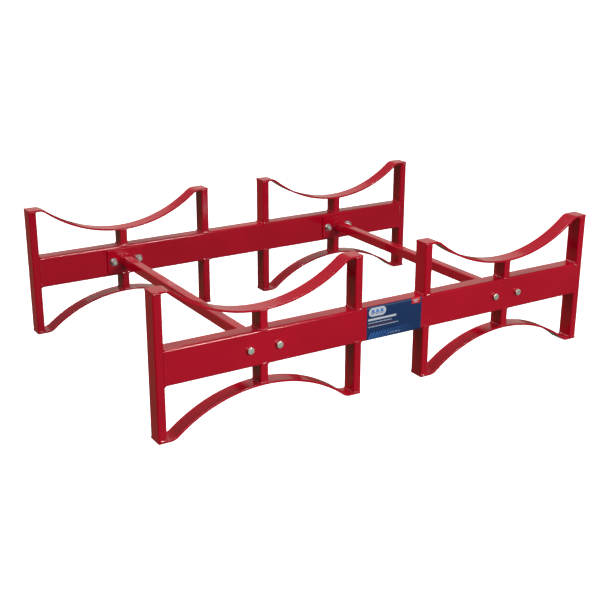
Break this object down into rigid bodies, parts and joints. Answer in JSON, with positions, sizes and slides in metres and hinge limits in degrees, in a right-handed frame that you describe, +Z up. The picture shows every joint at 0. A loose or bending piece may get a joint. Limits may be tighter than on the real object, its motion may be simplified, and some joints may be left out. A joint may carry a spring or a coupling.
{
  "type": "stackable drum storage rack",
  "caption": "Low welded steel rack that cradles drums on their sides in curved saddles, with mirrored arches below so racks stack on the drums; side frames joined by bolted cross bars.",
  "frame": {"origin": "centre of the footprint, on the floor under the feet", "axes": "+X runs along the side frames, +Y from the front frame (with the label) to the rear frame, +Z is up"},
  "size_m": [1.2, 0.8084, 0.335],
  "materials": {
    "red_enamel": "glossy deep red enamel over welded steel tube and bar",
    "zinc_plating": "bright zinc plating",
    "label_vinyl": "printed vinyl label, satin gloss"
  },
  "bodies": {
    "root": {"cross_bar_left": "red_enamel", "cross_bar_right": "red_enamel", "front_bolt_left_1": "zinc_plating", "front_bolt_left_2": "zinc_plating", "front_bolt_right_1": "zinc_plating", "front_bolt_right_2": "zinc_plating", "front_end_plate_left": "red_enamel", "front_end_plate_right": "red_enamel", "front_end_post_left": "red_enamel", "front_end_post_right": "red_enamel", "front_foot_arch_left": "red_enamel", "front_foot_arch_right": "red_enamel", "front_inner_stub_lower_left": "red_enamel", "front_inner_stub_lower_right": "red_enamel", "front_inner_stub_upper_left": "red_enamel", "front_inner_stub_upper_right": "red_enamel", "front_nut_left_1": "zinc_plating", "front_nut_left_2": "zinc_plating", "front_nut_right_1": "zinc_plating", "front_nut_right_2": "zinc_plating", "front_rail": "red_enamel", "front_saddle_left": "red_enamel", "front_saddle_right": "red_enamel", "front_seat_stub_lower_left": "red_enamel", "front_seat_stub_lower_right": "red_enamel", "front_seat_stub_upper_left": "red_enamel", "front_seat_stub_upper_right": "red_enamel", "rail_label": "label_vinyl", "rear_bolt_left_1": "zinc_plating", "rear_bolt_left_2": "zinc_plating", "rear_bolt_right_1": "zinc_plating", "rear_bolt_right_2": "zinc_plating", "rear_end_plate_left": "red_enamel", "rear_end_plate_right": "red_enamel", "rear_end_post_left": "red_enamel", "rear_end_post_right": "red_enamel", "rear_foot_arch_left": "red_enamel", "rear_foot_arch_right": "red_enamel", "rear_inner_stub_lower_left": "red_enamel", "rear_inner_stub_lower_right": "red_enamel", "rear_inner_stub_upper_left": "red_enamel", "rear_inner_stub_upper_right": "red_enamel", "rear_nut_left_1": "zinc_plating", "rear_nut_left_2": "zinc_plating", "rear_nut_right_1": "zinc_plating", "rear_nut_right_2": "zinc_plating", "rear_rail": "red_enamel", "rear_saddle_left": "red_enamel", "rear_saddle_right": "red_enamel", "rear_seat_stub_lower_left": "red_enamel", "rear_seat_stub_lower_right": "red_enamel", "rear_seat_stub_upper_left": "red_enamel", "rear_seat_stub_upper_right": "red_enamel"}
  },
  "joints": []
}
